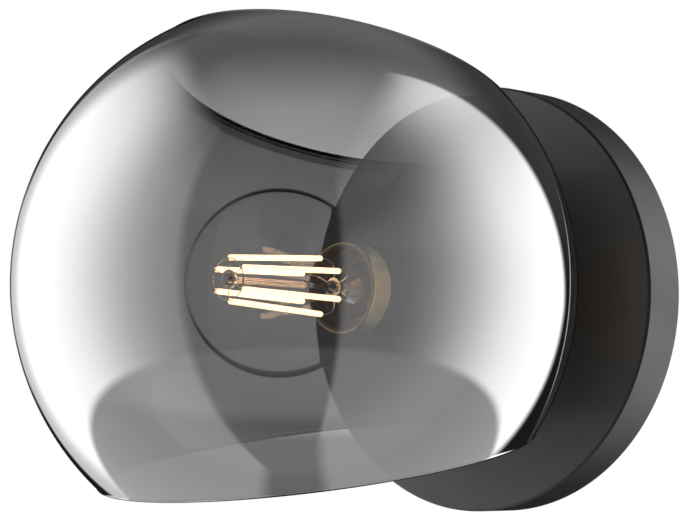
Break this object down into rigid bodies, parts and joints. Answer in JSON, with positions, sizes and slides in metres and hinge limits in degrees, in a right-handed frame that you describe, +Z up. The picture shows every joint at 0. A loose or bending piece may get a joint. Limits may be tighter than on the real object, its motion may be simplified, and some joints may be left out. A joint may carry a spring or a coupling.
{
  "type": "globe wall sconce",
  "caption": "Wall sconce with a drum canopy, an open smoked mirror-glass globe cut at top and bottom, and a screw-in filament lamp in a brass-collared holder.",
  "frame": {"origin": "middle of the canopy's open back, on the wall plane", "axes": "-Y points out of the wall along the lamp's axis, +Z is up and +X is to the right as seen from the room's side looking at the wall"},
  "size_m": [0.24, 0.2651, 0.2085],
  "materials": {
    "zinc_steel": "bright zinc plate, faintly brushed",
    "canopy_black": "black satin powder coat",
    "black_metal": "black satin lacquer on turned steel",
    "black_rubber": "matt black moulded rubber",
    "white_plastic": "off-white moulded polyamide",
    "black_plastic": "black moulded heat-proof plastic",
    "brass": "plain stamped brass",
    "collar_brass": "satin turned brass, slightly browned",
    "contact_spring": "sprung phosphor bronze",
    "ceramic": "unglazed steatite",
    "smoke_glass": "clear glass with a smoked half-mirror coat",
    "clear_glass": "thin clear blown glass",
    "lead_brown": "brown insulation",
    "lead_blue": "blue insulation",
    "lead_green": "green and yellow insulation",
    "nickel": "rolled nickel-plated cap",
    "tin_solder": "tinned solder",
    "black_vitrite": "black glass insulator",
    "board_green": "printed circuit board",
    "filament_glow": "phosphor-coated filament, lit",
    "wire_nickel": "bright nickel wire"
  },
  "bodies": {
    "fixture": {"wall_bracket": "zinc_steel", "cable_grommet": "black_rubber", "terminal_block": "white_plastic", "terminal_sleeves": "brass", "terminal_screws": "zinc_steel", "block_screw": "zinc_steel", "earth_screw": "brass", "earth_tag": "tin_solder", "canopy": "canopy_black", "canopy_screws": "black_metal", "threaded_tube": "brass", "tube_bushes": "white_plastic", "rear_nut": "zinc_steel", "lock_washer": "zinc_steel", "front_nut": "zinc_steel", "globe_seat": "black_metal", "rear_gasket": "black_rubber", "globe": "smoke_glass", "front_gasket": "black_rubber", "holder_cover": "black_metal", "holder_base": "black_plastic", "holder_body": "black_plastic", "holder_insert": "ceramic", "screw_shell": "brass", "centre_contact": "contact_spring", "side_contact": "contact_spring", "holder_screws": "zinc_steel", "brass_collar": "collar_brass", "live_lead": "lead_brown", "neutral_lead": "lead_blue", "earth_lead": "lead_green"},
    "clamp": {"clamp_ring": "black_metal"},
    "lamp_seat": {"lamp_tip": "tin_solder", "lamp_insulator": "black_vitrite"},
    "lamp": {"lamp_cap": "nickel", "lamp_driver": "board_green", "lamp_glass": "clear_glass", "lamp_stem": "clear_glass", "lamp_filaments": "filament_glow", "lamp_wires": "wire_nickel"}
  },
  "joints": [
    {"name": "clamp_turn", "type": "hinge", "parent": "fixture", "child": "clamp", "pos_m": [0, -0.036, 0], "axis": [0, -1, 0], "range_deg": [0, 360]},
    {"name": "lamp_travel", "type": "slide", "parent": "fixture", "child": "lamp_seat", "axis": [0, -1, 0], "range_m": [0, 0.0254]},
    {"name": "lamp_turn", "type": "hinge", "parent": "lamp_seat", "child": "lamp", "pos_m": [0, -0.075, 0], "axis": [0, -1, 0], "range_deg": [0, 2520]}
  ],
  "couplings": [
    {"joint": "lamp_travel", "follows": "lamp_turn", "m_per_rad": 0.00057741}
  ]
}
